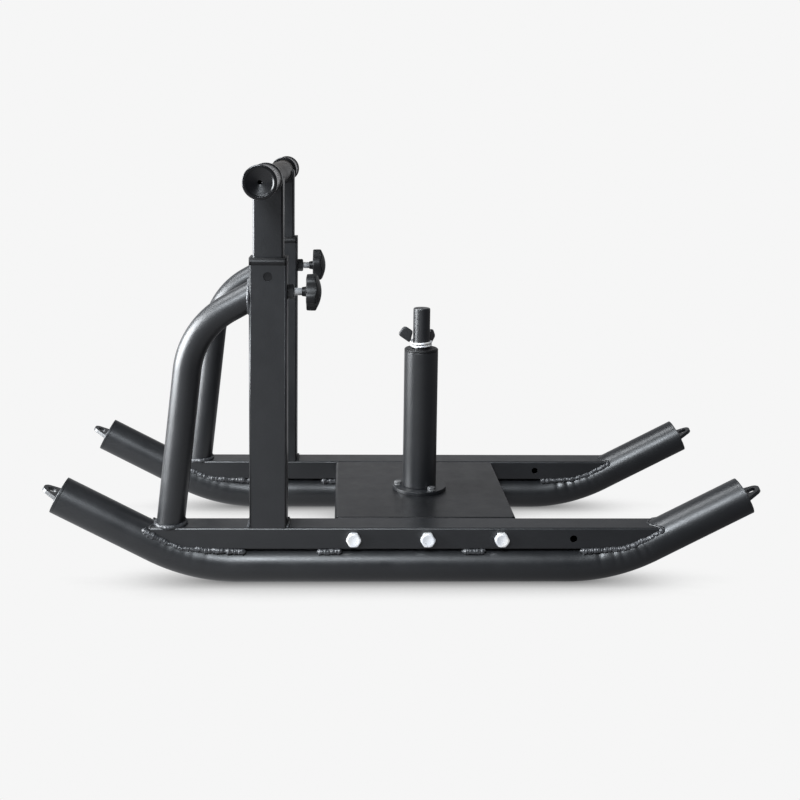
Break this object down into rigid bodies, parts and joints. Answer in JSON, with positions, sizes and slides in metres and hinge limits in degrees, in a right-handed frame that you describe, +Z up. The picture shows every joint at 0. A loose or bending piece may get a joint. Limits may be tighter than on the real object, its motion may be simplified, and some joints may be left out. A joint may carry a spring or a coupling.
{
  "type": "push sled",
  "caption": "Low push sled: bent tube runners, box rails, a bolted deck with a weight post and spring collar, and a braced push handle with adjustable height.",
  "frame": {"origin": "on the floor, on the centre plane, under the middle of the runners", "axes": "+Z up, +X forwards, away from the push handle, +Y to the left"},
  "size_m": [0.9764, 0.6, 0.5708],
  "materials": {
    "frame_steel": "satin dark grey powder coat",
    "bar_steel": "satin grey brown coat, worn by hands",
    "zinc": "bright zinc plate",
    "black_plastic": "moulded, fine grain",
    "black_rubber": "soft, slightly glossy"
  },
  "bodies": {
    "root": {"right_runner": "frame_steel", "left_runner": "frame_steel", "right_rail": "frame_steel", "left_rail": "frame_steel", "right_front_end_disc": "frame_steel", "left_front_end_disc": "frame_steel", "right_rear_end_disc": "frame_steel", "left_rear_end_disc": "frame_steel", "right_front_tow_lug": "frame_steel", "left_front_tow_lug": "frame_steel", "right_rear_tow_lug": "frame_steel", "left_rear_tow_lug": "frame_steel", "right_upright": "frame_steel", "left_upright": "frame_steel", "right_brace": "frame_steel", "left_brace": "frame_steel", "right_clamp_nut": "frame_steel", "left_clamp_nut": "frame_steel", "deck_plate": "frame_steel", "post_flange": "frame_steel", "post_pin": "frame_steel", "right_deck_bolts": "zinc", "left_deck_bolts": "zinc", "right_deck_washers": "zinc", "left_deck_washers": "zinc", "right_deck_nuts": "zinc", "left_deck_nuts": "zinc", "post_flange_bolts": "zinc", "post_flange_washers": "zinc", "post_flange_nuts": "zinc", "right_upright_bush": "black_plastic", "left_upright_bush": "black_plastic"},
    "handle": {"right_handle_leg": "frame_steel", "left_handle_leg": "frame_steel", "right_leg_slider": "black_plastic", "left_leg_slider": "black_plastic", "right_hand_grip": "black_rubber", "left_hand_grip": "black_rubber", "handlebar": "bar_steel"},
    "right_screw": {"right_clamp_stud": "zinc"},
    "right_knob": {"right_clamp_knob": "black_plastic"},
    "left_screw": {"left_clamp_stud": "zinc"},
    "left_knob": {"left_clamp_knob": "black_plastic"},
    "sleeve": {"adapter_sleeve": "frame_steel", "sleeve_top_plug": "black_plastic", "sleeve_bottom_plug": "black_plastic"},
    "collar": {"collar_coil": "zinc"},
    "collar_upper": {"collar_upper_wire_end": "zinc", "collar_upper_grip": "black_rubber"},
    "collar_lower": {"collar_lower_wire_end": "zinc", "collar_lower_grip": "black_rubber"}
  },
  "joints": [
    {"name": "handle_height", "type": "slide", "parent": "root", "child": "handle", "axis": [0, 0, 1], "range_m": [0, 0.25]},
    {"name": "right_screw_travel", "type": "slide", "parent": "root", "child": "right_screw", "axis": [1, 0, 0], "range_m": [0, 0.006]},
    {"name": "right_knob_turn", "type": "hinge", "parent": "right_screw", "child": "right_knob", "pos_m": [-0.13, -0.148, 0.3993], "axis": [1, 0, 0], "range_deg": [0, 1440]},
    {"name": "left_screw_travel", "type": "slide", "parent": "root", "child": "left_screw", "axis": [1, 0, 0], "range_m": [0, 0.006]},
    {"name": "left_knob_turn", "type": "hinge", "parent": "left_screw", "child": "left_knob", "pos_m": [-0.13, 0.148, 0.3993], "axis": [1, 0, 0], "range_deg": [0, 1440]},
    {"name": "sleeve_lift", "type": "slide", "parent": "root", "child": "sleeve", "axis": [0, 0, 1], "range_m": [0, 0.27]},
    {"name": "collar_lift", "type": "slide", "parent": "sleeve", "child": "collar", "axis": [0, 0, 1], "range_m": [0, 0.15]},
    {"name": "collar_upper_squeeze", "type": "hinge", "parent": "collar", "child": "collar_upper", "pos_m": [0.031, 0, 0.3], "axis": [0, 0, -1], "range_deg": [0, 12], "stiffness_Nm_per_rad": 0.4, "deforming": ["collar_coil"]},
    {"name": "collar_lower_squeeze", "type": "hinge", "parent": "collar", "child": "collar_lower", "pos_m": [0.031, 0, 0.3], "axis": [0, 0, 1], "range_deg": [0, 12], "stiffness_Nm_per_rad": 0.4, "deforming": ["collar_coil"]}
  ],
  "couplings": [
    {"joint": "right_screw_travel", "follows": "right_knob_turn", "m_per_rad": 0.00023873},
    {"joint": "left_screw_travel", "follows": "left_knob_turn", "m_per_rad": 0.00023873},
    {"joint": "collar_lower_squeeze", "follows": "collar_upper_squeeze", "ratio": 1}
  ]
}
